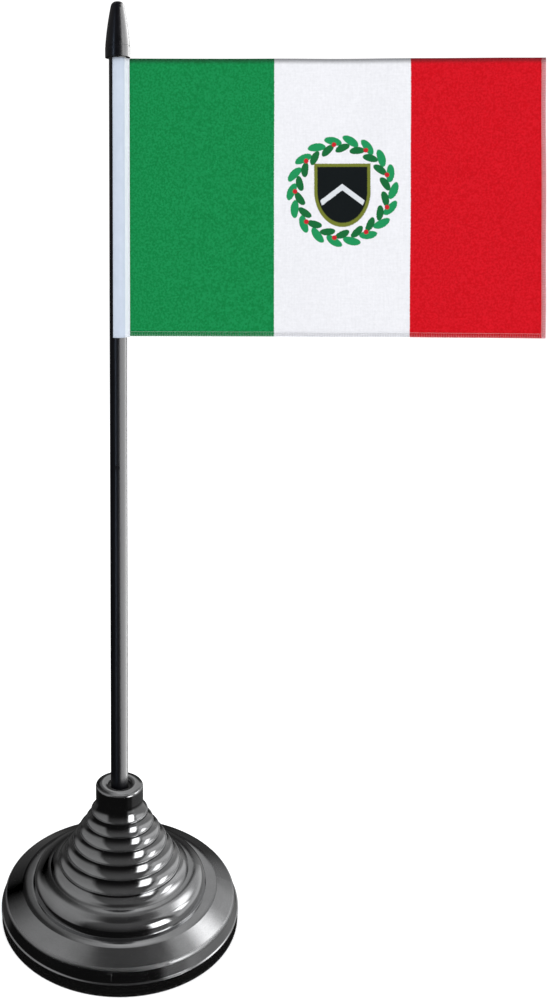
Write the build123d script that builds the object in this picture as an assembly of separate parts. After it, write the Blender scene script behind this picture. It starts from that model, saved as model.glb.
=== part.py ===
from build123d import *
from math import dist
import os

# Desk flag stand, in millimetres. The origin is on the pole's axis, in the face that rests on the desk.
# +Z runs up the pole and the flag flies towards +X, so its face looks along -Y.

# Base shell: a plated moulding, a cone of hollow treads on a ledge and a bevelled foot.
NECK_R = 8.6
NECK_TOP_Z = 46.0
NECK_CROWN_R = 6.3
NECK_RIM_Z = 45.65
NECK_FOOT_Z = 41.0
NECK_ROUND = 0.7
# Each tread is a cove that ends in a lip, given by its radius and its height above the desk.
TREAD_LIPS = [(10.3, 36.7), (12.3, 33.1), (14.7, 29.7), (17.1, 26.3), (19.5, 22.8), (22.0, 19.2)]
COVE_SHARE = 0.10
LIP_LAND = 0.5
LIP_SLOPE = 0.07
LIP_ROUND = 0.1
LIP_DROP = 0.72
# The lowest tread ends in a bead, without a riser, which drops to a ledge that slopes a little outwards.
BEAD_START = (25.0, 16.35)
BEAD_SHOULDER = (28.6, 15.2)
BEAD_END = (30.85, 12.9)
BEAD_TOP_BULGE = 0.19
BEAD_SIDE_BULGE = 0.33
LEDGE_INNER = (31.3, 11.1)
LEDGE_CROWN = (33.2, 11.05)
BEVEL_TOP = (35.1, 10.7)
BEVEL_FOOT = (40.9, 8.3)
WALL_TOP = (41.45, 7.65)
WALL_ROUND = 1.0
WALL_FOOT = (42.3, 4.3)
FOOT_R = 42.7
FOOT_LIP_Z = 4.1
PARTING_Z = 3.6
SHELL_WALL = 1.9
SHELL_FOOT_WALL = 1.8
SHELL_WALL_R = 1.8
SHELL_WALL_Z = 1.06

# Socket in the neck, and the bush that turns in it.
SOCKET_R = 4.2
SOCKET_TUBE_R = 6.2
SOCKET_LEDGE_Z = 26.2
SOCKET_FOOT_Z = 24.2
SOCKET_HOLE_R = 2.0
RUNNING_GAP = 0.05
SEAT_GAP = 0.05
BUSH_RECESS = 1.2
BUSH_LEAD_IN = 0.4

# Pole and finial: together they are a nominal 300 mm.
POLE_R = 3.15
POLE_BORE_R = 2.15
POLE_CHAMFER = 0.3
POLE_AND_FINIAL = 300.0
FINIAL_TIP_Z = 328.4
FINIAL_LENGTH = 20.0
COLLAR_R = 4.5
COLLAR_HEIGHT = 3.7
GROOVE_HEIGHT = 0.35
GROOVE_DEPTH = 0.35
CONE_BASE_R = 4.45
CONE_TIP_R = 2.1
CONE_BULGE = 0.28
CONE_TIP_ROUND = 1.95
PEG_LENGTH = 9.0
PIP_Z = 161.5
PIP_R = 0.9
PIP_PROUD = 0.22
PIP_ANGLE = 260.0

# Flag: 150 by 100 mm of printed cloth, with a plain hoist margin lapped round the pole.
FLAG_TOP_Z = 308.1
FLAG_HEIGHT = 100.0
# In plan the fly leaves the pole along +X and bends a little towards -Y.
FLY_START_X = 3.75
FLY_LENGTH = 150.0
FLY_BEND = 5.5
FLY_SAG = 1.35
CLOTH = 0.5
MARGIN_CLOTH = 0.35
MARGIN_GAP = 0.02
MARGIN_EDGE_X = -1.6
SEAM_X = 3.98
SEAM_WIDTH = 0.4
SEAM_PROUD = 0.15
SEAM_GAP = 0.02
SEAM_END_GAP = 0.8

# Bottom cover, foot pad, ballast and screws.
COVER_R = 42.5
COVER_FOOT_Z = 0.2
COVER_FLOOR_TOP_Z = 3.2
COVER_RIM_R = 40.2
COVER_RIM_WALL = 1.2
COVER_RIM_HEIGHT = 1.5
PAD_R = 38.5
PAD_GAP = 0.1
PAD_THICKNESS = 1.2
BALLAST_R = 34.5
BALLAST_BORE_R = 7.5
BALLAST_HEIGHT = 4.8
SCREW_COUNT = 3
SCREW_CIRCLE_R = 21.0
SCREW_R = 1.4
SCREW_TOP_Z = 12.0
SCREW_HEAD_R = 2.7
SCREW_HEAD_HEIGHT = 1.0
SCREW_HOLE_R = 1.7
SCREW_SINK_R = 2.9
PILOT_R = 1.45
PILOT_TOP_Z = 13.0
BOSS_R = 3.0
BOSS_FOOT_Z = 8.2

# Gate marks left on the shell's foot wall and on the cover's edge.
GATE_PROUD = 0.07
SHELL_GATE_ANGLE = 263.2
SHELL_GATE_SIZE = (1.4, 2.0)
SHELL_GATE_LEAN = 14.2
COVER_GATE_ANGLE = 298.0
COVER_GATE_SIZE = (3.0, 0.7)
COVER_GATE_Z = 2.9

POLE_FOOT_Z = FINIAL_TIP_Z - POLE_AND_FINIAL
POLE_TOP_Z = FINIAL_TIP_Z - FINIAL_LENGTH
CAVITY_TOP_Z = NECK_FOOT_Z - 2.4


def revolved(edges):
    """A solid of revolution about the pole's axis, from a closed outline of radii and heights."""
    return revolve(make_face([Plane.XZ * edge for edge in edges]), Axis.Z)


def outline(points):
    """Straight edges from point to point, closed."""
    return [Line(a, b) for a, b in zip(points, points[1:] + points[:1])]


def cylinder(radius, foot_z, top_z):
    """An upright cylinder on the pole's axis."""
    return Pos(0, 0, foot_z) * Cylinder(radius, top_z - foot_z, align=(Align.CENTER, Align.CENTER, Align.MIN))


def at_screws(solid):
    """One copy of a solid for each screw, round the screw circle."""
    step = 360 / SCREW_COUNT
    return [Rot(0, 0, 90 + i * step) * Pos(SCREW_CIRCLE_R, 0, 0) * solid for i in range(SCREW_COUNT)]


def cove(start, end):
    """A hollow arc, as deep as a fixed share of its length."""
    return SagittaArc(start, end, -COVE_SHARE * dist(start, end))


def tread_edges(start):
    """Hollow treads from the neck's foot outwards: each is a cove, a narrow lip and a riser under it."""
    edges = []
    for radius, height in TREAD_LIPS:
        land = (radius - LIP_LAND, height + LIP_SLOPE)
        over = (radius - LIP_ROUND, height)
        under = (radius, height - LIP_ROUND)
        riser_foot = (radius, height - LIP_DROP)
        edges += [cove(start, land), Line(land, over)]
        edges += [RadiusArc(over, under, LIP_ROUND), Line(under, riser_foot)]
        start = riser_foot
    return edges, start


def shell_block():
    """The base shell's outside, as a solid."""
    neck_side = (NECK_R, NECK_RIM_Z - NECK_ROUND)
    neck_shoulder = (NECK_R - NECK_ROUND, NECK_RIM_Z)
    neck_mouth = (SOCKET_R, NECK_RIM_Z)
    neck_foot = (NECK_R, NECK_FOOT_Z)
    foot_lip = (FOOT_R, FOOT_LIP_Z)
    treads, last_riser = tread_edges(neck_foot)
    edges = [Line((0, PARTING_Z), (0, NECK_RIM_Z)), Line((0, NECK_RIM_Z), neck_mouth)]
    edges += [ThreePointArc(neck_mouth, (NECK_CROWN_R, NECK_TOP_Z), neck_shoulder)]
    edges += [RadiusArc(neck_shoulder, neck_side, NECK_ROUND), Line(neck_side, neck_foot)]
    edges += treads
    edges += [cove(last_riser, BEAD_START), SagittaArc(BEAD_START, BEAD_SHOULDER, BEAD_TOP_BULGE)]
    edges += [SagittaArc(BEAD_SHOULDER, BEAD_END, BEAD_SIDE_BULGE), Line(BEAD_END, LEDGE_INNER)]
    edges += [ThreePointArc(LEDGE_INNER, LEDGE_CROWN, BEVEL_TOP), Line(BEVEL_TOP, BEVEL_FOOT)]
    edges += [RadiusArc(BEVEL_FOOT, WALL_TOP, WALL_ROUND), Line(WALL_TOP, WALL_FOOT)]
    edges += [Line(WALL_FOOT, foot_lip), Line(foot_lip, (FOOT_R, PARTING_Z))]
    edges += [Line((FOOT_R, PARTING_Z), (0, PARTING_Z))]
    return revolved(edges)


def shell_cavity():
    """The space under the shell, one wall inside the treads and the bevel and round the socket's tube."""
    under_lips = [(radius - SHELL_WALL_R, height - LIP_DROP - SHELL_WALL_Z) for radius, height in TREAD_LIPS]
    under_bevel = [(BEVEL_FOOT[0] - SHELL_WALL / 2, BEVEL_FOOT[1] - SHELL_WALL),
                   (BEVEL_TOP[0] - SHELL_WALL / 2, BEVEL_TOP[1] - SHELL_WALL)]
    under_ledge = [(LEDGE_INNER[0] - SHELL_WALL / 2, LEDGE_INNER[1] - SHELL_WALL),
                   (BEAD_END[0] - SHELL_WALL, BEAD_END[1] - SHELL_WALL / 2),
                   (BEAD_START[0] - SHELL_WALL / 2, BEAD_START[1] - SHELL_WALL)]
    points = [(0, SOCKET_FOOT_Z), (0, PARTING_Z), (FOOT_R - SHELL_FOOT_WALL, PARTING_Z)]
    points += under_bevel + under_ledge + under_lips[::-1]
    points += [(SOCKET_TUBE_R, CAVITY_TOP_Z), (SOCKET_TUBE_R, SOCKET_FOOT_Z)]
    return revolved(outline(points))


def gate_mark(angle, radius, height, size, lean):
    """A low rectangular gate mark on a wall, at an angle round the axis. lean tips it back with the wall."""
    width, length = size
    return Rot(0, 0, angle) * Pos(radius, 0, height) * Rot(0, -lean, 0) * Box(2 * GATE_PROUD, width, length)


def base_shell():
    bosses = at_screws(cylinder(BOSS_R, BOSS_FOOT_Z, NECK_TOP_Z))
    shell = shell_block() - (shell_cavity() - bosses)
    shell -= cylinder(SOCKET_R, SOCKET_LEDGE_Z, NECK_TOP_Z)
    shell -= cylinder(SOCKET_HOLE_R, SOCKET_FOOT_Z, SOCKET_LEDGE_Z)
    shell -= at_screws(cylinder(PILOT_R, BOSS_FOOT_Z, PILOT_TOP_Z))
    wall_radius = (WALL_TOP[0] + WALL_FOOT[0]) / 2
    wall_height = (WALL_TOP[1] + WALL_FOOT[1]) / 2
    return shell + gate_mark(SHELL_GATE_ANGLE, wall_radius, wall_height, SHELL_GATE_SIZE, SHELL_GATE_LEAN)


def bottom_cover():
    rim_top = PARTING_Z + COVER_RIM_HEIGHT
    cover = cylinder(COVER_R, COVER_FOOT_Z, PARTING_Z) + cylinder(COVER_RIM_R, PARTING_Z, rim_top)
    cover -= cylinder(COVER_RIM_R - COVER_RIM_WALL, COVER_FLOOR_TOP_Z, rim_top)
    cover -= cylinder(PAD_R + PAD_GAP, COVER_FOOT_Z, PAD_THICKNESS)
    cover -= at_screws(cylinder(SCREW_HOLE_R, PAD_THICKNESS, COVER_FLOOR_TOP_Z))
    cover -= at_screws(cylinder(SCREW_SINK_R, PAD_THICKNESS, PAD_THICKNESS + SCREW_HEAD_HEIGHT))
    return cover + gate_mark(COVER_GATE_ANGLE, COVER_R, COVER_GATE_Z, COVER_GATE_SIZE, 0)


def foot_pad():
    return cylinder(PAD_R, 0, PAD_THICKNESS)


def ballast_disc():
    top_z = COVER_FLOOR_TOP_Z + BALLAST_HEIGHT
    disc = cylinder(BALLAST_R, COVER_FLOOR_TOP_Z, top_z) - cylinder(BALLAST_BORE_R, COVER_FLOOR_TOP_Z, top_z)
    return disc - at_screws(cylinder(SCREW_HOLE_R, COVER_FLOOR_TOP_Z, top_z))


def cover_screws():
    head_top = PAD_THICKNESS + SCREW_HEAD_HEIGHT
    screw = cylinder(SCREW_HEAD_R, PAD_THICKNESS, head_top) + cylinder(SCREW_R, head_top, SCREW_TOP_Z)
    return Compound(at_screws(screw))


def socket_bush():
    top_z = NECK_TOP_Z - BUSH_RECESS
    bush = cylinder(SOCKET_R - RUNNING_GAP, SOCKET_LEDGE_Z + SEAT_GAP, top_z)
    bush -= cylinder(POLE_R + RUNNING_GAP, POLE_FOOT_Z - SEAT_GAP, top_z)
    mouth = bush.edges().filter_by(GeomType.CIRCLE).group_by(Axis.Z)[-1].sort_by(SortBy.RADIUS)[0]
    return chamfer(mouth, BUSH_LEAD_IN)


def pole():
    rod = cylinder(POLE_R, POLE_FOOT_Z, POLE_TOP_Z)
    rod = chamfer(rod.edges().group_by(Axis.Z)[0], POLE_CHAMFER)
    pip = Pos(0, 0, PIP_Z) * Rot(0, 0, PIP_ANGLE) * Rot(0, 90, 0) * Cylinder(
        PIP_R, POLE_R + PIP_PROUD, align=(Align.CENTER, Align.CENTER, Align.MIN))
    return rod + pip - cylinder(POLE_BORE_R, POLE_FOOT_Z, POLE_TOP_Z)


def finial():
    peg_r = POLE_BORE_R - RUNNING_GAP
    collar_top = POLE_TOP_Z + COLLAR_HEIGHT
    cone_foot = (CONE_BASE_R, collar_top + GROOVE_HEIGHT)
    cone_tip = (CONE_TIP_R, FINIAL_TIP_Z)
    points = [(0, FINIAL_TIP_Z), (0, POLE_TOP_Z - PEG_LENGTH), (peg_r, POLE_TOP_Z - PEG_LENGTH)]
    points += [(peg_r, POLE_TOP_Z), (COLLAR_R, POLE_TOP_Z), (COLLAR_R, collar_top)]
    points += [(COLLAR_R - GROOVE_DEPTH, collar_top), (COLLAR_R - GROOVE_DEPTH, cone_foot[1]), cone_foot]
    edges = [Line(a, b) for a, b in zip(points, points[1:])]
    edges += [SagittaArc(cone_foot, cone_tip, -CONE_BULGE), Line(cone_tip, (0, FINIAL_TIP_Z))]
    cap = revolved(edges)
    return fillet(cap.edges().group_by(Axis.Z)[-1], CONE_TIP_ROUND)


def hoist_margin():
    """The plain margin, in plan a drop round the pole, which it leaves bare on the hoist side."""
    outer_r = POLE_R + MARGIN_GAP + MARGIN_CLOTH
    tip = Pos(FLY_START_X - CLOTH / 2, 0) * Rectangle(CLOTH, CLOTH)
    plan = make_hull(Circle(outer_r).edges() + tip.edges()) - Circle(POLE_R + MARGIN_GAP)
    plan -= Pos(MARGIN_EDGE_X, 0) * Rectangle(2 * outer_r, 2 * outer_r, align=(Align.MAX, Align.CENTER))
    return Pos(0, 0, FLAG_TOP_Z - FLAG_HEIGHT) * extrude(plan, FLAG_HEIGHT)


def fly_cloth():
    reach = (FLY_LENGTH**2 - FLY_BEND**2) ** 0.5
    plan = trace(SagittaArc((FLY_START_X, 0), (FLY_START_X + reach, -FLY_BEND), FLY_SAG), CLOTH)
    return Pos(0, 0, FLAG_TOP_Z - FLAG_HEIGHT) * extrude(plan, FLAG_HEIGHT)


def hoist_seam():
    """The thread of the seam between margin and fly, as one strip on each face."""
    strip = Box(SEAM_WIDTH, SEAM_PROUD, FLAG_HEIGHT - 2 * SEAM_END_GAP)
    offset = (CLOTH + SEAM_PROUD) / 2 + SEAM_GAP
    middle_z = FLAG_TOP_Z - FLAG_HEIGHT / 2
    return Compound([Pos(SEAM_X, side * offset, middle_z) * strip for side in (-1, 1)])


SUB_PARTS = {
    "base_shell": base_shell,
    "bottom_cover": bottom_cover,
    "foot_pad": foot_pad,
    "ballast_disc": ballast_disc,
    "cover_screws": cover_screws,
    "socket_bush": socket_bush,
    "pole": pole,
    "finial": finial,
    "hoist_margin": hoist_margin,
    "fly_cloth": fly_cloth,
    "hoist_seam": hoist_seam,
}

os.makedirs("parts", exist_ok=True)
for node, make in SUB_PARTS.items():
    export_step(make(), f"parts/{node}.step")
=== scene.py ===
import math

import bpy
from mathutils import Matrix, Vector


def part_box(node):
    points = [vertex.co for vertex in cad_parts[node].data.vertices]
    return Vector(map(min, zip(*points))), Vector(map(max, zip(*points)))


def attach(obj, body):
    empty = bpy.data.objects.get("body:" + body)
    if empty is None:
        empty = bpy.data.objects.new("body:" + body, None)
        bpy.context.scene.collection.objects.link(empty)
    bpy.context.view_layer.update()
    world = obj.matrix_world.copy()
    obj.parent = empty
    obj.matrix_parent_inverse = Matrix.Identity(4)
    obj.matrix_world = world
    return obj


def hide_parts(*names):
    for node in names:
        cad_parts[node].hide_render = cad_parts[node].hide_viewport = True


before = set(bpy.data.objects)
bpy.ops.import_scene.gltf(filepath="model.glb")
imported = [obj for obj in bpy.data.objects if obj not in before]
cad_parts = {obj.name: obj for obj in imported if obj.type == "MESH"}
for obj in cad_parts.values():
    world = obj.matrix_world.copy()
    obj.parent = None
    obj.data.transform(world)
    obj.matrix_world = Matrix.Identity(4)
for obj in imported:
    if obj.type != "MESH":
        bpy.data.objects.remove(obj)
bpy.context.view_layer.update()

# Desk flag stand. Every length is in metres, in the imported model's frame. The flag's front looks along -Y.
MM = 0.001

# The fly in plan: it leaves the hoist along +X and bends a little towards -Y. Its tuck is the short strip
# between the sleeve's two faces.
FLY_LENGTH = 150 * MM
FLY_BEND = 5.5 * MM
FLY_SAG = 1.35 * MM
FLY_CLOTH = 0.24 * MM
FLY_TUCK = 0.5 * MM
# The lower edge isn't cut square: it starts a little high at the hoist and ends low.
LOW_EDGE_RISE = 0.3 * MM
LOW_EDGE_SLANT = 1.2 * MM
HEM_DEPTH = 1.5 * MM
TOP_HEM_DEPTH = 2.6 * MM
THREAD_R = 0.07 * MM
FLY_WEAVE = 0.26 * MM

# The hoist margin: a sleeve round the pole that leaves the pole's outer side bare.
MARGIN_CLOTH = 0.22 * MM
MARGIN_GAP = 0.03 * MM
MARGIN_EDGE_X = -1.9 * MM
MARGIN_TIP_X = 4.2 * MM
MARGIN_LAP = 0.5 * MM
MARGIN_R = 3.3 * MM
MARGIN_WEAVE = 0.3 * MM
# From here towards the fly the sleeve's two faces lie together and let less light through; the sleeve is
# painted paler there, as painted light on its flat strip.
MARGIN_DOUBLED_X = 2.2 * MM
SEAM_X = 3.95 * MM

# The corner between the base's bevel and its foot wall, where the plating is duller.
DULL_CORNER_R = 40.6 * MM
DULL_CORNER_Z = 7.2 * MM

PALE_THREAD = (0.84, 0.86, 0.9, 1)
# The colour that the painted shade along the fly's top edge darkens towards.
TOP_SHADE_BLACK = (0.01, 0.012, 0.015, 1)

# The print, in millimetres along the fly and down from its top edge.
GREEN_END = 52.6
WHITE_END = 101.6
EMBLEM_ALONG = 77.2
EMBLEM_DOWN = 47.7
BAND_BLUR = 0.15


def srgb(red, green, blue):
    """A colour given as 0 to 255 on a screen, in linear light."""
    parts = [c / 255 for c in (red, green, blue)]
    return tuple(c / 12.92 if c < 0.04 else ((c + 0.055) / 1.055) ** 2.4 for c in parts) + (1,)


# ---------------------------------------------------------------- node trees

class Num:
    """A number in a node tree. Arithmetic on it adds the nodes that work it out."""

    def __init__(self, tree, socket):
        self.tree = tree
        self.socket = socket

    def __add__(self, other):
        return self.tree.math("ADD", self, other)

    def __sub__(self, other):
        return self.tree.math("SUBTRACT", self, other)

    def __rsub__(self, other):
        return self.tree.math("SUBTRACT", other, self)

    def __mul__(self, other):
        return self.tree.math("MULTIPLY", self, other)

    def __truediv__(self, other):
        return self.tree.math("DIVIDE", self, other)

    __radd__ = __add__
    __rmul__ = __mul__

    def abs(self):
        return self.tree.math("ABSOLUTE", self)

    def ramp(self, low, high):
        """A smooth step, from 0 at low to 1 at high. With high below low it falls instead."""
        settings = dict(interpolation_type="SMOOTHSTEP")
        inputs = {"Value": self, "From Min": min(low, high), "From Max": max(low, high)}
        if high < low:
            inputs.update({"To Min": 1.0, "To Max": 0.0})
        return Num(self.tree, self.tree.node("MapRange", inputs, **settings).outputs[0])


class Tree:
    """The node tree of a material or a world, with short ways to add to it."""

    def __init__(self, owner):
        owner.use_nodes = True
        self.tree = owner.node_tree
        self.tree.nodes.clear()

    def node(self, kind, inputs=None, **settings):
        made = self.tree.nodes.new("ShaderNode" + kind)
        for name, value in settings.items():
            setattr(made, name, value)
        for name, value in (inputs or {}).items():
            self.plug(made.inputs[name], value)
        return made

    def plug(self, socket, value):
        if isinstance(value, Num):
            value = value.socket
        if isinstance(value, bpy.types.NodeSocket):
            self.tree.links.new(value, socket)
        else:
            socket.default_value = value

    def math(self, operation, *values):
        made = self.node("Math", operation=operation)
        for socket, value in zip(made.inputs, values):
            self.plug(socket, value)
        return Num(self, made.outputs[0])

    def place(self):
        """The object's own coordinates, which ride with it: the vector and its three numbers."""
        vector = self.node("TexCoord").outputs["Object"]
        parts = self.node("SeparateXYZ", {0: vector}).outputs
        return vector, *(Num(self, part) for part in parts)

    def vector(self, *parts):
        return self.node("CombineXYZ", dict(enumerate(parts))).outputs[0]

    def noise(self, vector, scale, detail=2.0, stretch=(1, 1, 1)):
        """Smooth noise about 0.5. scale is in blobs per metre."""
        scaled = self.node("VectorMath", {0: vector, 1: stretch}, operation="MULTIPLY").outputs[0]
        made = self.node("TexNoise", {"Vector": scaled, "Scale": scale, "Detail": detail})
        return Num(self, made.outputs[0])

    def cells(self, vector, scale):
        """Distance to the middle of the nearest of many cells, as in foam or a cast skin."""
        return Num(self, self.node("TexVoronoi", {"Vector": vector, "Scale": scale}).outputs["Distance"])

    def mix(self, share, low, high):
        """A colour between two others."""
        made = self.node("Mix", data_type="RGBA")
        for socket, value in zip((made.inputs[0], made.inputs[6], made.inputs[7]), (share, low, high)):
            self.plug(socket, value)
        return made.outputs[2]

    def bump(self, height, distance, normal=None):
        made = self.node("Bump", {"Height": height, "Distance": distance, "Strength": 1.0})
        if normal:
            self.plug(made.inputs["Normal"], normal)
        return made.outputs[0]

    def principled(self, **inputs):
        """The surface. Words in an input's name are joined by underscores."""
        sockets = {name.replace("_", " "): value for name, value in inputs.items()}
        shader = self.node("BsdfPrincipled", sockets)
        self.node("OutputMaterial", {"Surface": shader.outputs[0]})


def material(name):
    made = bpy.data.materials.new(name)
    return made, Tree(made)


# ---------------------------------------------------------------- materials

def dark_chrome():
    made, t = material("dark_chrome")
    vector, x, y, z = t.place()
    radius = t.math("SQRT", x * x + y * y)
    angle = t.math("ARCTAN2", y, x)
    rings = t.noise(t.vector(angle * 0.004, radius * 3.0, z * 3.0), 900, 3)
    smudge = t.noise(vector, 95, 4)
    grain = t.noise(vector, 2600, 2)
    dust = t.noise(vector, 6000, 1).ramp(0.70, 0.80)
    tone = smudge * 0.6 + rings * 0.15 + grain * 0.25
    outside = radius.ramp(DULL_CORNER_R, DULL_CORNER_R + 0.3 * MM)
    corner = outside * z.ramp(DULL_CORNER_Z, DULL_CORNER_Z + 0.4 * MM)
    rounded = t.node("Bevel", {"Radius": 0.28 * MM}, samples=6).outputs[0]
    t.principled(
        Base_Color=t.mix(tone.ramp(0.25, 0.75), (0.255, 0.26, 0.265, 1), (0.33, 0.335, 0.345, 1)),
        Metallic=1.0,
        Roughness=smudge.ramp(0.3, 0.8) * 0.06 + rings * 0.03 + dust * 0.15 + corner * 0.25 + 0.08,
        Normal=t.bump(smudge * 0.6 + rings * 0.03 + grain * 0.08, 0.05 * MM, rounded))
    return made


def black_plastic():
    made, t = material("black_plastic")
    vector, *_, z = t.place()
    stipple = t.noise(vector, 3800, 2)
    scuff = t.noise(vector, 260, 3, (1, 1, 4))
    dust = z.ramp(1.4 * MM, 0.3 * MM) * t.noise(vector, 1500, 3).ramp(0.4, 0.7)
    t.principled(
        Base_Color=t.mix(dust * 0.4 + scuff * 0.1, (0.002, 0.002, 0.002, 1), (0.02, 0.019, 0.018, 1)),
        Roughness=scuff * 0.12 + dust * 0.25 + 0.12,
        IOR=1.9,
        Normal=t.bump(stipple, 0.01 * MM))
    return made


def pad_foam():
    made, t = material("pad_foam")
    vector, *_ = t.place()
    pores = t.cells(vector, 2200)
    patch = t.noise(vector, 120, 3)
    # Partly painted shade: the colour is darker in the pore pits, where the bump sinks; the patches are the
    # foam's own tone.
    t.principled(
        Base_Color=t.mix(patch * 0.6 + pores * 0.4, (0.010, 0.010, 0.011, 1), (0.045, 0.044, 0.042, 1)),
        Roughness=patch * 0.15 + 0.8,
        Normal=t.bump(pores, 0.12 * MM))
    return made


def ballast_iron():
    made, t = material("ballast_iron")
    vector, *_ = t.place()
    skin = t.noise(vector, 1400, 4)
    rust = t.noise(vector, 110, 5).ramp(0.5, 0.7)
    iron = t.mix(skin, (0.10, 0.098, 0.095, 1), (0.24, 0.23, 0.22, 1))
    t.principled(
        Base_Color=t.mix(rust, iron, (0.13, 0.055, 0.03, 1)),
        Metallic=1 - rust * 0.8,
        Roughness=skin * 0.25 + rust * 0.25 + 0.4,
        Normal=t.bump(skin, 0.12 * MM))
    return made


def screw_steel():
    made, t = material("screw_steel")
    vector, *_ = t.place()
    drawn = t.noise(vector, 1800, 3, (1, 1, 0.2))
    stain = t.noise(vector, 500, 3)
    t.principled(
        Base_Color=t.mix(stain, (0.44, 0.45, 0.46, 1), (0.62, 0.62, 0.60, 1)),
        Metallic=1.0,
        Roughness=drawn * 0.25 + 0.18,
        Normal=t.bump(drawn, 0.02 * MM))
    return made


def bush_plastic():
    made, t = material("bush_plastic")
    vector, *_ = t.place()
    grain = t.noise(vector, 3000, 3)
    rub = t.noise(vector, 400, 2, (1, 1, 0.15))
    t.principled(
        Base_Color=t.mix(rub, (0.006, 0.006, 0.006, 1), (0.022, 0.022, 0.023, 1)),
        Roughness=grain * 0.2 + 0.5,
        Normal=t.bump(grain * 0.6 + rub * 0.4, 0.03 * MM))
    return made


def pole_plastic():
    made, t = material("pole_plastic")
    vector, *_ = t.place()
    drawn = t.noise(vector, 1500, 3, (1, 1, 0.02))
    wave = t.noise(vector, 90, 2, (1, 1, 0.3))
    specks = t.noise(vector, 5200, 1).ramp(0.68, 0.78)
    t.principled(
        Base_Color=t.mix(drawn * 0.6 + wave * 0.4, (0.001, 0.001, 0.0015, 1), (0.004, 0.004, 0.006, 1)),
        Roughness=drawn * 0.10 + wave * 0.06 + specks * 0.15 + 0.24,
        IOR=1.28,
        Normal=t.bump(drawn * 0.3 + wave * 0.6, 0.02 * MM))
    return made


def finial_plastic():
    made, t = material("finial_plastic")
    vector, x, y, z = t.place()
    peel = t.noise(vector, 800, 2)
    grain = t.noise(vector, 4200, 2)
    flow = t.noise(t.vector(x, y, z * 3), 160, 3)
    t.principled(
        Base_Color=t.mix(flow, (0.001, 0.001, 0.0015, 1), (0.004, 0.004, 0.006, 1)),
        Roughness=flow * 0.10 + grain * 0.06 + 0.22,
        IOR=1.28,
        Normal=t.bump(peel * 0.8 + grain * 0.1, 0.012 * MM))
    return made


def twist(t, x, y, z, pitch):
    """The turns of a thread's ply, 0 to 1, seen whichever way the thread runs."""
    return t.math("SINE", (x + y * 1.3 + z) * (2 * math.pi / pitch)) * 0.5 + 0.5


def seam_thread():
    made, t = material("seam_thread")
    vector, x, y, z = t.place()
    ply = twist(t, x, y, z, 0.22 * MM)
    fuzz = t.noise(vector, 7000, 2)
    # Partly painted shade: the pale thread is painted grey in the grooves between the ply's turns; the fuzz
    # is its own tone.
    t.principled(
        Base_Color=t.mix(ply * 0.5 + fuzz * 0.5, (0.55, 0.58, 0.62, 1), PALE_THREAD),
        Roughness=fuzz * 0.2 + 0.65,
        Sheen_Weight=0.3,
        Normal=t.bump(ply * 0.7 + fuzz * 0.3, 0.03 * MM))
    return made


def weave(t, x, z, pitch):
    """The height of a plain weave in the XZ plane, 0 to 1: warp and weft pass over each other in turn."""
    turn = math.pi / pitch
    warp = t.math("SINE", x * turn)
    weft = t.math("SINE", z * turn)
    over = t.math("GREATER_THAN", warp * weft, 0.0)
    return over * warp.abs() + (1 - over) * weft.abs()


def slubs(t, vector, pitch):
    """Thread to thread variation, 0 to 1: long thin noise along the warp and along the weft."""
    scale = 0.45 / pitch
    return t.noise(vector, scale, 2, (1, 1, 0.12)) * 0.5 + t.noise(vector, scale, 2, (0.12, 1, 1)) * 0.5


def margin_cloth():
    made, t = material("margin_cloth")
    vector, x, y, z = t.place()
    round_pole = t.math("ARCTAN2", y, x) * MARGIN_R
    threads = weave(t, round_pole, z, MARGIN_WEAVE)
    slub = slubs(t, vector, MARGIN_WEAVE)
    soil = t.noise(vector, 240, 3)
    # Painted light and shade: the white cloth is painted a shaded bluish grey round the pole, and paler
    # where its two faces lie together, as a lit flat strip.
    doubled_painted_light = x.ramp(MARGIN_DOUBLED_X, MARGIN_DOUBLED_X + 0.4 * MM)
    plain = t.mix(slub * 0.5 + soil * 0.5, (0.40, 0.455, 0.54, 1), (0.535, 0.585, 0.68, 1))
    t.principled(
        Base_Color=t.mix(doubled_painted_light * 0.9, plain, (0.72, 0.75, 0.80, 1)),
        Roughness=slub * 0.15 + 0.72,
        Specular_IOR_Level=0.15,
        Sheen_Weight=0.05,
        Normal=t.bump(threads * 0.6 + slub, 0.05 * MM))
    return made


# ---------------------------------------------------------------- the flag's print

def leaf_ring(t, x, z, radius, count, length, width, tilt, shift=0.0):
    """How far inside a ring of leaves a point is: below 1 is in a leaf. Each leaf leans by tilt."""
    step = 2 * math.pi / count
    angle = t.math("WRAP", t.math("ARCTAN2", z, x) + shift, step / 2, -step / 2)
    across = t.math("SQRT", x * x + z * z) - radius
    along = angle * radius
    turned = along * math.cos(tilt) + across * math.sin(tilt)
    aside = across * math.cos(tilt) - along * math.sin(tilt)
    return t.math("SQRT", (turned / length) * (turned / length) + (aside / width) * (aside / width))


def shield(t, x, z, width, top, foot):
    """How far inside a plain shield a point is: below 1 is in it."""
    below = t.math("MINIMUM", z, 0.0) / foot
    sides = t.math("SQRT", (x / width) * (x / width) + below * below)
    return t.math("MAXIMUM", sides, z / top)


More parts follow.
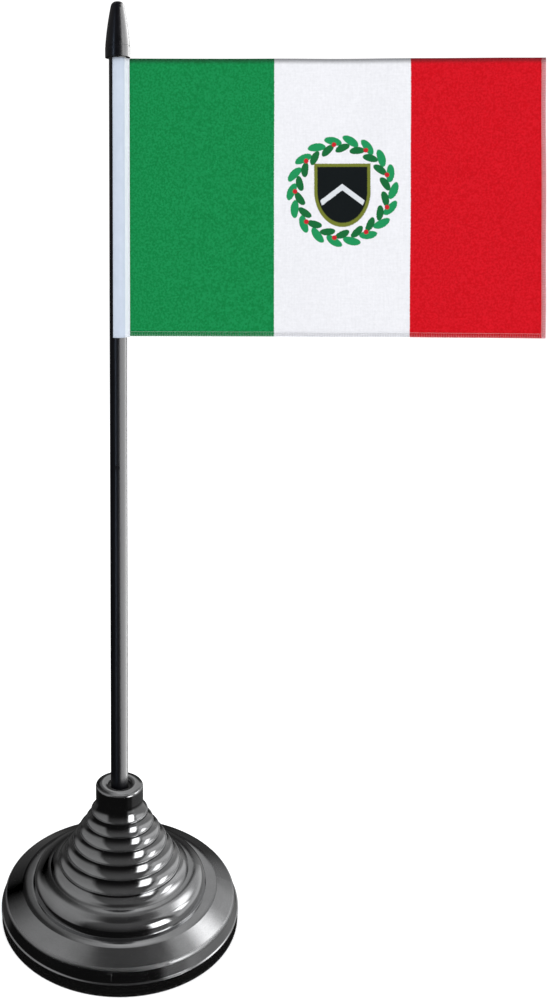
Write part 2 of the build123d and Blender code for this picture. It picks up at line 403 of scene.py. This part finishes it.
def emblem(t, x, z, cloth):
    """A plain generic badge: a shield with one chevron, inside a full ring of leaves and berries.
    x and z are in millimetres from its middle."""
    outer = leaf_ring(t, x, z, 18.3, 18, 3.3, 1.45, 0.42)
    inner = leaf_ring(t, x, z, 15.6, 18, 2.8, 1.3, -0.42, math.pi / 18)
    berries = leaf_ring(t, x, z, 17.0, 9, 0.85, 0.85, 0.0, math.pi / 9)
    body = shield(t, x, z, 10.2, 10.0, 13.0)
    chevron = (z + x.abs() * 0.75 - 1.5).abs()
    dark = t.mix(body.ramp(0.90, 0.86), srgb(112, 120, 44), srgb(14, 20, 22))
    crest = t.mix(chevron.ramp(1.25, 1.05) * body.ramp(0.84, 0.80), dark, srgb(214, 218, 222))
    shown = t.mix(outer.ramp(1.06, 0.94), cloth, srgb(30, 143, 86))
    shown = t.mix(inner.ramp(1.06, 0.94), shown, srgb(22, 104, 54))
    shown = t.mix(berries.ramp(1.15, 0.85), shown, srgb(196, 34, 44))
    return t.mix(body.ramp(1.01, 0.98), shown, crest)


def flag_print(t, vector, x, z, hoist_x, top_z):
    """The printed colour of the fly: three bands, the badge and a paler end hem, with painted shade
    darkening the top edge.
    """
    bleed = (t.noise(vector, 2400, 1) - 0.5) * 0.3
    ink = t.noise(vector, 1300, 3).ramp(0.36, 0.64)
    along = (x - hoist_x) / MM + bleed
    down = (top_z - z) / MM + bleed
    green = t.mix(ink, srgb(6, 124, 62), srgb(20, 138, 76))
    red = t.mix(ink, srgb(196, 4, 20), srgb(210, 16, 32))
    bands = t.mix(along.ramp(GREEN_END - BAND_BLUR, GREEN_END + BAND_BLUR), green, srgb(232, 232, 236))
    bands = t.mix(along.ramp(WHITE_END - BAND_BLUR, WHITE_END + BAND_BLUR), bands, red)
    shown = emblem(t, along - EMBLEM_ALONG, EMBLEM_DOWN - down, bands)
    end_hem = (FLY_LENGTH - HEM_DEPTH) / MM
    shown = t.mix(along.ramp(end_hem - 0.2, end_hem + 0.1) * 0.28, shown, PALE_THREAD)
    # Painted shade: the colour darkens towards near black across the top hem's depth, along the top edge.
    painted_top_shade = down.ramp(TOP_HEM_DEPTH / MM - 0.2, 0.2) * 0.7
    return t.mix(painted_top_shade, shown, TOP_SHADE_BLACK)


def flag_cloth(hoist_x, top_z):
    made, t = material("flag_cloth")
    vector, x, _, z = t.place()
    threads = weave(t, x, z, FLY_WEAVE)
    slub = slubs(t, vector, FLY_WEAVE)
    mottle = t.noise(vector, 1100, 3)
    soft = t.noise(vector, 45, 3)
    printed = flag_print(t, vector, x, z, hoist_x, top_z)
    shade = threads * 0.05 + slub * 0.16 + mottle * 0.14 + soft * 0.03
    t.principled(
        Base_Color=t.mix(shade, printed, (0.01, 0.01, 0.01, 1)),
        Roughness=slub * 0.15 + threads * 0.1 + 0.7,
        Specular_IOR_Level=0.06,
        Sheen_Weight=0.01,
        Normal=t.bump(threads * 0.5 + slub * 0.6, 0.04 * MM))
    return made


def hem_yarn(hoist_x, top_z):
    """Pale overlock thread, which lets the print show between its turns."""
    made, t = material("hem_yarn")
    vector, x, y, z = t.place()
    ply = twist(t, x, y, z, 0.2 * MM)
    fuzz = t.noise(vector, 7000, 2)
    printed = flag_print(t, vector, x, z, hoist_x, top_z)
    t.principled(
        Base_Color=t.mix(ply * 0.06 + fuzz * 0.10 + 0.16, printed, PALE_THREAD),
        Roughness=fuzz * 0.2 + 0.65,
        Specular_IOR_Level=0.2,
        Normal=t.bump(ply * 0.7 + fuzz * 0.3, 0.03 * MM))
    return made


# ---------------------------------------------------------------- meshes

def mesh_piece(name, verts, faces, finish):
    """A new piece of the flag, from points in the model's frame. It rides on the pole."""
    mesh = bpy.data.meshes.new(name)
    mesh.from_pydata(verts, [], faces)
    mesh.update()
    mesh.materials.append(finish)
    mesh.polygons.foreach_set("use_smooth", [True] * len(mesh.polygons))
    piece = bpy.data.objects.new(name, mesh)
    bpy.context.scene.collection.objects.link(piece)
    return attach(piece, "pole")


def slab(place, columns, rows):
    """A closed thin sheet. place(u, v, side) gives a point for u and v from 0 to 1 on side -1 or 1."""
    grid = [(i / columns, j / rows) for i in range(columns + 1) for j in range(rows + 1)]
    verts = [place(u, v, side) for side in (-1, 1) for u, v in grid]
    back = (columns + 1) * (rows + 1)
    faces = []
    for i in range(columns):
        for j in range(rows):
            a, b = i * (rows + 1) + j, (i + 1) * (rows + 1) + j
            faces += [(a, b, b + 1, a + 1), (back + a, back + a + 1, back + b + 1, back + b)]
    ring = [i * (rows + 1) for i in range(columns + 1)]
    ring += [columns * (rows + 1) + j for j in range(1, rows + 1)]
    ring += [i * (rows + 1) + rows for i in range(columns - 1, -1, -1)]
    ring += [j for j in range(rows - 1, 0, -1)]
    faces += [(b, a, back + a, back + b) for a, b in zip(ring, ring[1:] + ring[:1])]
    return verts, faces


def tube(path, radius, sides=6):
    """A closed round thread along a path of points."""
    verts, faces = [], []
    for i, point in enumerate(path):
        ahead = (path[min(i + 1, len(path) - 1)] - path[max(i - 1, 0)]).normalized()
        across = ahead.orthogonal() if i == 0 else (across - across.project(ahead))
        across = across.normalized()
        other = ahead.cross(across)
        for k in range(sides):
            turn = 2 * math.pi * k / sides
            verts.append(point + (across * math.cos(turn) + other * math.sin(turn)) * radius)
    for i in range(len(path) - 1):
        for k in range(sides):
            a, b = i * sides + k, i * sides + (k + 1) % sides
            faces.append((a, b, b + sides, a + sides))
    faces += [tuple(range(sides - 1, -1, -1)), tuple(range(len(verts) - sides, len(verts)))]
    return verts, faces


def gathered(parts):
    """Several meshes as one."""
    verts, faces = [], []
    for part_verts, part_faces in parts:
        faces += [tuple(v + len(verts) for v in face) for face in part_faces]
        verts += part_verts
    return verts, faces


class Fly:
    """The shape of the fly: where a point lies, given how far along, how high and how far off the middle."""

    def __init__(self):
        low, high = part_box("fly_cloth")
        self.hoist_x = low.x
        self.foot_z = low.z
        self.top_z = high.z
        self.reach = math.sqrt(FLY_LENGTH**2 - FLY_BEND**2)

    def ripple(self, along, height):
        """Slight waves of a stiff printed cloth. They grow from nothing at the hoist."""
        grow = min(max(along / (60 * MM), 0), 1) ** 1.5
        down = (self.top_z - height) / MM
        along = along / MM
        broad = 0.30 * math.sin(along / 11.0 + down / 26.0 + 0.6)
        narrow = 0.22 * math.sin(along / 6.3 - down / 34.0 + 2.1)
        level = 0.12 * math.sin(down / 7.5 + along / 30.0)
        return (broad + narrow + level) * grow * MM

    def point(self, along, height, off=0.0):
        u = along / FLY_LENGTH
        slope = (-FLY_BEND + 4 * FLY_SAG * (1 - 2 * u)) / self.reach
        normal = Vector((-slope, 1, 0)).normalized()
        low = (self.top_z - height) / (self.top_z - self.foot_z)
        height = height + (LOW_EDGE_RISE - LOW_EDGE_SLANT * u) * low
        middle = Vector((self.hoist_x + self.reach * u, -FLY_BEND * u + 4 * FLY_SAG * u * (1 - u), height))
        return middle + normal * (self.ripple(along, height) + off)


def fly_piece(fly, finish):
    def place(u, v, side):
        along = -FLY_TUCK + (FLY_LENGTH + FLY_TUCK) * u
        height = fly.foot_z + (fly.top_z - fly.foot_z) * v
        return fly.point(along, height, side * FLY_CLOTH / 2)

    verts, faces = slab(place, 120, 80)
    return mesh_piece("fly_sheet", verts, faces, finish)


def top_hem(fly, finish):
    """The top edge, turned over to the back."""
    def place(u, v, side):
        height = fly.top_z - TOP_HEM_DEPTH * (1 - v) - 0.02 * MM
        off = FLY_CLOTH + 0.03 * MM + side * 0.09 * MM
        return fly.point(0.6 * MM + (FLY_LENGTH - 1.2 * MM) * u, height, off)

    verts, faces = slab(place, 120, 4)
    return mesh_piece("fly_top_hem", verts, faces, finish)


def overlock(edge, length, pitch):
    """Thread that zigzags over an edge of the fly, with a looper thread along each face.
    edge(q, depth, off) gives the point q along the edge, depth inside it and off the middle."""
    face = FLY_CLOTH / 2 + THREAD_R
    turn = [(HEM_DEPTH, -face), (0.05 * MM, -face), (-THREAD_R, 0), (0.05 * MM, face),
            (HEM_DEPTH, face), (0.05 * MM, face), (-THREAD_R, 0), (0.05 * MM, -face)]
    count = int(length / pitch)
    zigzag = [edge((i + k / 8) * pitch, *turn[k]) for i in range(count) for k in range(8)]
    step = 0.5 * pitch
    depths = [HEM_DEPTH + (i % 2) * 0.15 * MM for i in range(int(length / step))]
    loops = [[edge(i * step, depth, side * (face + THREAD_R)) for i, depth in enumerate(depths)]
             for side in (-1, 1)]
    return [tube(line, THREAD_R) for line in [zigzag] + loops]


def hem_thread(fly, finish):
    """Overlocked bottom and fly edges."""
    def bottom(q, depth, off):
        return fly.point(min(0.8 * MM + q, FLY_LENGTH), fly.foot_z + depth, off)

    def end(q, depth, off):
        return fly.point(FLY_LENGTH - depth, fly.foot_z + 0.4 * MM + q, off)

    parts = overlock(bottom, FLY_LENGTH - 1.2 * MM, 0.6 * MM)
    parts += overlock(end, fly.top_z - fly.foot_z - 0.8 * MM, 0.6 * MM)
    verts, faces = gathered(parts)
    return mesh_piece("fly_overlock_thread", verts, faces, finish)


def margin_line():
    """One half of the sleeve's plan, from its free edge on the pole to its tip, as points at +Y."""
    low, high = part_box("pole")
    radius = high.x + MARGIN_GAP + MARGIN_CLOTH / 2
    tip = Vector((MARGIN_TIP_X, (FLY_CLOTH + MARGIN_CLOTH) / 2 + 0.01 * MM))
    fold = tip - Vector((MARGIN_LAP, 0))
    start = math.acos(MARGIN_EDGE_X / radius)
    leave = math.acos(radius / fold.length) + math.atan2(fold.y, fold.x)
    turns = [start + (leave - start) * i / 16 for i in range(17)]
    arc = [Vector((math.cos(a), math.sin(a))) * radius for a in turns]
    return arc + [arc[-1].lerp(fold, 0.5), fold, tip]


def margin_half(side_y, fly):
    """One face of the sleeve, front or back, as a thin closed sheet."""
    line = margin_line()
    steps = len(line) - 1

    def place(u, v, side):
        i = round(u * steps)
        ahead = (line[min(i + 1, steps)] - line[max(i - 1, 0)]).normalized()
        out = Vector((-ahead.y, ahead.x))
        crease = 0.03 * MM * math.sin(v * 61 + i * 0.7) * math.sin(v * 23 + 1.3)
        point = line[i] + out * (side * MARGIN_CLOTH / 2 + abs(crease))
        return Vector((point.x, side_y * point.y, fly.foot_z + (fly.top_z - fly.foot_z) * v))

    verts, faces = slab(place, steps, 60)
    return verts, [face[::-1] for face in faces] if side_y > 0 else faces


def margin_piece(fly, finish):
    verts, faces = gathered([margin_half(side, fly) for side in (-1, 1)])
    return mesh_piece("margin_sleeve", verts, faces, finish)


def seam_stitches(fly, finish):
    """The row of stitches through margin and fly, as short arched threads on both faces."""
    pitch, gap = 1.9 * MM, 0.35 * MM
    face = FLY_CLOTH / 2 + MARGIN_CLOTH + 0.08 * MM
    parts = []
    for i in range(int((fly.top_z - fly.foot_z - 1.6 * MM) / pitch)):
        foot = fly.foot_z + 0.9 * MM + i * pitch
        for side in (-1, 1):
            path = [fly.point(SEAM_X - fly.hoist_x, foot + (pitch - gap) * k / 6,
                              side * (face - 0.1 * MM * (2 * k / 6 - 1) ** 4)) for k in range(7)]
            parts.append(tube(path, 0.13 * MM, 7))
    verts, faces = gathered(parts)
    return mesh_piece("seam_stitches", verts, faces, finish)


# ---------------------------------------------------------------- stage, light and camera

def floor():
    made, t = material("pale_floor")
    vector, *_ = t.place()
    t.principled(
        Base_Color=t.mix(t.noise(vector, 3, 2), (0.90, 0.90, 0.90, 1), (0.94, 0.94, 0.94, 1)),
        Roughness=0.9,
        Specular_IOR_Level=0.0,
        Emission_Color=(1, 1, 1, 1),
        Emission_Strength=0.3)
    mesh = bpy.data.meshes.new("floor")
    mesh.from_pydata([(-4, -4, 0), (4, -4, 0), (4, 4, 0), (-4, 4, 0)], [], [(0, 1, 2, 3)])
    mesh.materials.append(made)
    piece = bpy.data.objects.new("floor", mesh)
    bpy.context.scene.collection.objects.link(piece)
    piece.visible_glossy = False
    piece.visible_shadow = False


# The panels that the dark chrome reflects: the azimuth and elevation of the middle, half the width and half
# the height, the softness of the edge, and the brightness. Angles are in degrees, and azimuth 0 is -Y and 90
# is +X. A panel of negative brightness is a dark cloth in front of the studio's own dim light.
STUDIO_PANELS = [
    ((-98, 38), (44, 36), 9, 0.38),
    ((-150, -14), (24, 14), 6, 0.05),
    ((49, 18), (11, 18), 4, 6.0),
    ((50, -17), (14, 8), 6, 0.35),
    ((96, 38), (8, 9), 3, 4.2),
    ((121, 46), (13, 7), 6, 3.0),
    ((108, -2), (47, 26), 7, 0.40),
    ((110, 36), (37, 30), 4, 0.70),
    ((-155, 38), (14, 18), 5, -0.09),
    ((180, 2), (30, 10), 5, 0.06),
    ((168, 40), (14, 18), 3, 0.58),
    ((-174, 40), (9, 16), 3, 0.15),
    ((180, 59), (14, 6), 5, 0.35),
    ((180, 68), (36, 12), 8, 0.12),
]


def panel(t, azimuth, elevation, middle, half, edge, strength):
    """The light of one soft-edged panel in the direction of azimuth and elevation, which are in radians."""
    aside = t.math("WRAP", azimuth - math.radians(middle[0]), math.pi, -math.pi).abs()
    above = (elevation - math.radians(middle[1])).abs()
    reach = [(math.radians(size + edge), math.radians(max(size - edge, 0))) for size in half]
    return aside.ramp(*reach[0]) * above.ramp(*reach[1]) * strength


def reflected_studio(t):
    """The brightness of the studio in each direction: a dim room with soft panels all round."""
    direction = t.node("TexCoord").outputs["Generated"]
    parts = t.node("SeparateXYZ", {0: direction}).outputs
    x, y, z = (Num(t, part) for part in parts)
    azimuth = t.math("ARCTAN2", x, 0.0 - y)
    elevation = t.math("ARCSINE", z)
    overhead = elevation.ramp(math.radians(72), math.radians(80)) * 0.12
    light = elevation.ramp(0, math.radians(60)) * 0.17 + 0.014 - overhead
    for middle, half, edge, strength in STUDIO_PANELS:
        light = light + panel(t, azimuth, elevation, middle, half, edge, strength)
    return light


def studio_world():
    """White for the camera and even light on matt surfaces. Glossy surfaces see the studio instead."""
    world = bpy.data.worlds.new("studio")
    bpy.context.scene.world = world
    t = Tree(world)
    rays = t.node("LightPath").outputs
    white = t.node("Background", {"Color": (1, 1, 1, 1), "Strength": 1.1}).outputs[0]
    even = t.node("Background", {"Color": (0.97, 0.985, 1, 1), "Strength": 0.78}).outputs[0]
    studio = t.node("Background", {"Color": (1, 0.99, 0.98, 1), "Strength": reflected_studio(t)}).outputs[0]
    lit = t.node("MixShader", {0: rays["Is Camera Ray"], 1: even, 2: white}).outputs[0]
    shown = t.node("MixShader", {0: rays["Is Glossy Ray"], 1: lit, 2: studio}).outputs[0]
    t.node("OutputWorld", {"Surface": shown})
    world.cycles.sampling_method = "NONE"


def soft_light(name, position, target, size, power):
    light = bpy.data.lights.new(name, "AREA")
    light.shape = "DISK"
    light.size = size
    light.energy = power
    lamp = bpy.data.objects.new(name, light)
    bpy.context.scene.collection.objects.link(lamp)
    lamp.location = position
    lamp.rotation_euler = (Vector(target) - Vector(position)).to_track_quat("-Z", "Y").to_euler()
    lamp.visible_glossy = False


def rod_light(name, azimuth, size, power, colour, lit):
    """A tall soft light that only one black piece reflects. Degrees; azimuth 0 is -Y and 90 is +X."""
    turn = math.radians(azimuth)
    light = bpy.data.lights.new(name, "AREA")
    light.shape = "RECTANGLE"
    light.size, light.size_y = size
    light.energy = power
    light.color = colour
    lamp = bpy.data.objects.new(name, light)
    bpy.context.scene.collection.objects.link(lamp)
    middle = Vector((0, 0, 0.2))
    lamp.location = middle + Vector((math.sin(turn), -math.cos(turn), 0))
    lamp.rotation_euler = (middle - lamp.location).to_track_quat("-Z", "Y").to_euler()
    lamp.visible_camera = False
    lamp.visible_diffuse = False
    lamp.light_linking.receiver_collection = lit


def camera():
    """The photograph's view: in front of the pole and level with the flag, looking almost level."""
    data = bpy.data.cameras.new("camera")
    data.sensor_width = 36
    data.lens = 35.69
    data.shift_x = 0.157
    data.shift_y = -0.25
    made = bpy.data.objects.new("camera", data)
    bpy.context.scene.collection.objects.link(made)
    made.location = (-12.32 * MM, -356.41 * MM, 245.64 * MM)
    turn = Matrix.Rotation(math.radians(-2.06), 4, "Z") @ Matrix.Rotation(math.radians(89), 4, "X")
    made.rotation_euler = (turn @ Matrix.Rotation(math.radians(-0.15), 4, "Z")).to_euler()
    bpy.context.scene.camera = made


# ---------------------------------------------------------------- the object

bpy.context.scene.view_settings.view_transform = "Standard"

fly = Fly()
finishes = {
    "base_shell": dark_chrome(),
    "bottom_cover": black_plastic(),
    "foot_pad": pad_foam(),
    "ballast_disc": ballast_iron(),
    "cover_screws": screw_steel(),
    "socket_bush": bush_plastic(),
    "pole": pole_plastic(),
    "finial": finial_plastic(),
}
for node, finish in finishes.items():
    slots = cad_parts[node].data.materials
    slots.clear()
    slots.append(finish)

cloth = flag_cloth(fly.hoist_x, fly.top_z)
sheet = fly_piece(fly, cloth)
hems = [top_hem(fly, cloth), hem_thread(fly, hem_yarn(fly.hoist_x, fly.top_z))]
margin = margin_piece(fly, margin_cloth())
stitches = seam_stitches(fly, seam_thread())
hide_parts("fly_cloth")
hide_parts("hoist_margin")
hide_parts("hoist_seam")
# The base doesn't mirror the flag, the pole or the finial.
for piece in [sheet, margin, stitches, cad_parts["pole"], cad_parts["finial"]] + hems:
    piece.visible_glossy = False
hems + [stitches]

floor()
studio_world()
soft_light("key", (0.9, -1.1, 1.0), (0.05, 0, 0.15), 0.9, 9)
soft_light("overhead", (-0.2, -0.2, 1.6), (0, 0, 0), 1.4, 12)
# The pole and the finial are each lit by a wide window on the right and a thin bluish strip on the left.
for node, azimuth, width in (("pole", 72, 3.0), ("finial", 92, 2.4)):
    lit = bpy.data.collections.new(node + "_light")
    lit.objects.link(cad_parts[node])
    rod_light(node + "_window", azimuth, (width, 2.2), 100 * width, (1, 1, 1), lit)
    rod_light(node + "_strip", -41, (0.09, 1.2), 4, (0.6, 0.75, 1), lit)
camera()
